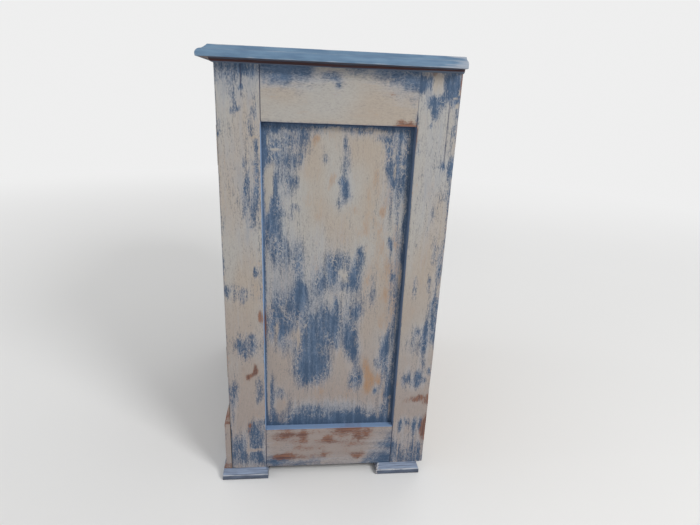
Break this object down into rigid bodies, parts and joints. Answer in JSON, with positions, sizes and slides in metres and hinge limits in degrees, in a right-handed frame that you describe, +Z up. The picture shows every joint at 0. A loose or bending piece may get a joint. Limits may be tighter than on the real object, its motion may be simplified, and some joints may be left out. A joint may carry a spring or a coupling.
{
  "type": "tabletop cabinet",
  "caption": "Small painted wooden tabletop cabinet: frame-and-panel sides, moulded top, flat block feet, inner shelf, hinged panelled doors with turn latch and sliding bolt.",
  "frame": {"origin": "bottom centre of the bounding box, on the surface the feet stand on", "axes": "+Z up, the doors face -Y, +X to the right of someone facing the doors"},
  "size_m": [0.494, 0.3262, 0.616],
  "materials": {
    "frame_paint": "worn chalk paint, off-white over blue, on softwood",
    "panel_paint": "worn chalk paint, off-white rubbed back to blue, on softwood",
    "top_paint": "worn light blue chalk paint on softwood",
    "foot_paint": "light blue chalk paint with worn pale edges on softwood",
    "moulding_wood": "dark red-brown stained softwood",
    "bare_wood": "bare aged softwood",
    "knob_wood": "turned hardwood, waxed and worn",
    "hinge_iron": "dark aged iron",
    "latch_steel": "dull plain steel"
  },
  "bodies": {
    "cabinet": {"back_board_1": "bare_wood", "back_board_2": "bare_wood", "back_board_3": "bare_wood", "back_rail": "bare_wood", "cleat_screws": "hinge_iron", "door_stop": "bare_wood", "floor_board": "bare_wood", "floor_cleats": "bare_wood", "foot_screws": "hinge_iron", "front_bottom_rail": "frame_paint", "front_moulding": "moulding_wood", "front_top_rail": "frame_paint", "hinge_frame_screws": "hinge_iron", "hinge_pins": "hinge_iron", "left_back_foot": "foot_paint", "left_front_foot": "foot_paint", "left_hinge_frame_leaves": "hinge_iron", "left_moulding": "moulding_wood", "left_side_back_stile": "frame_paint", "left_side_bottom_rail": "frame_paint", "left_side_front_stile": "frame_paint", "left_side_panel": "panel_paint", "left_side_top_rail": "frame_paint", "nails": "hinge_iron", "plinth_board": "frame_paint", "right_back_foot": "foot_paint", "right_front_foot": "foot_paint", "right_hinge_frame_leaves": "hinge_iron", "right_moulding": "moulding_wood", "right_side_back_stile": "frame_paint", "right_side_bottom_rail": "frame_paint", "right_side_front_stile": "frame_paint", "right_side_panel": "panel_paint", "right_side_top_rail": "frame_paint", "shelf": "bare_wood", "shelf_cleats": "bare_wood", "top_board": "top_paint", "top_cleats": "bare_wood"},
    "left_door": {"bolt_plate": "latch_steel", "left_door_bottom_rail": "frame_paint", "left_door_hinge_leaves": "hinge_iron", "left_door_hinge_stile": "frame_paint", "left_door_meeting_stile": "frame_paint", "left_door_panel": "panel_paint", "left_door_screws": "hinge_iron", "left_door_top_rail": "frame_paint", "left_knob": "knob_wood", "left_knob_screw": "hinge_iron"},
    "right_door": {"right_door_bottom_rail": "frame_paint", "right_door_hinge_leaves": "hinge_iron", "right_door_hinge_stile": "frame_paint", "right_door_meeting_stile": "frame_paint", "right_door_panel": "panel_paint", "right_door_screws": "hinge_iron", "right_door_top_rail": "frame_paint"},
    "right_latch": {"right_knob": "knob_wood", "latch_spindle": "latch_steel", "latch_tongue": "latch_steel"},
    "left_bolt": {"bolt_rod": "latch_steel"}
  },
  "joints": [
    {"name": "left_door_hinge", "type": "hinge", "parent": "cabinet", "child": "left_door", "pos_m": [-0.2092, -0.13765, 0.3445], "axis": [0, 0, -1], "range_deg": [0, 165]},
    {"name": "right_door_hinge", "type": "hinge", "parent": "cabinet", "child": "right_door", "pos_m": [0.2092, -0.13765, 0.3445], "axis": [0, 0, 1], "range_deg": [0, 165]},
    {"name": "latch_turn", "type": "hinge", "parent": "right_door", "child": "right_latch", "pos_m": [0.022, -0.13685, 0.344], "axis": [0, 1, 0], "range_deg": [0, 90]},
    {"name": "bolt_slide", "type": "slide", "parent": "left_door", "child": "left_bolt", "axis": [0, 0, 1], "range_m": [0, 0.012]}
  ]
}
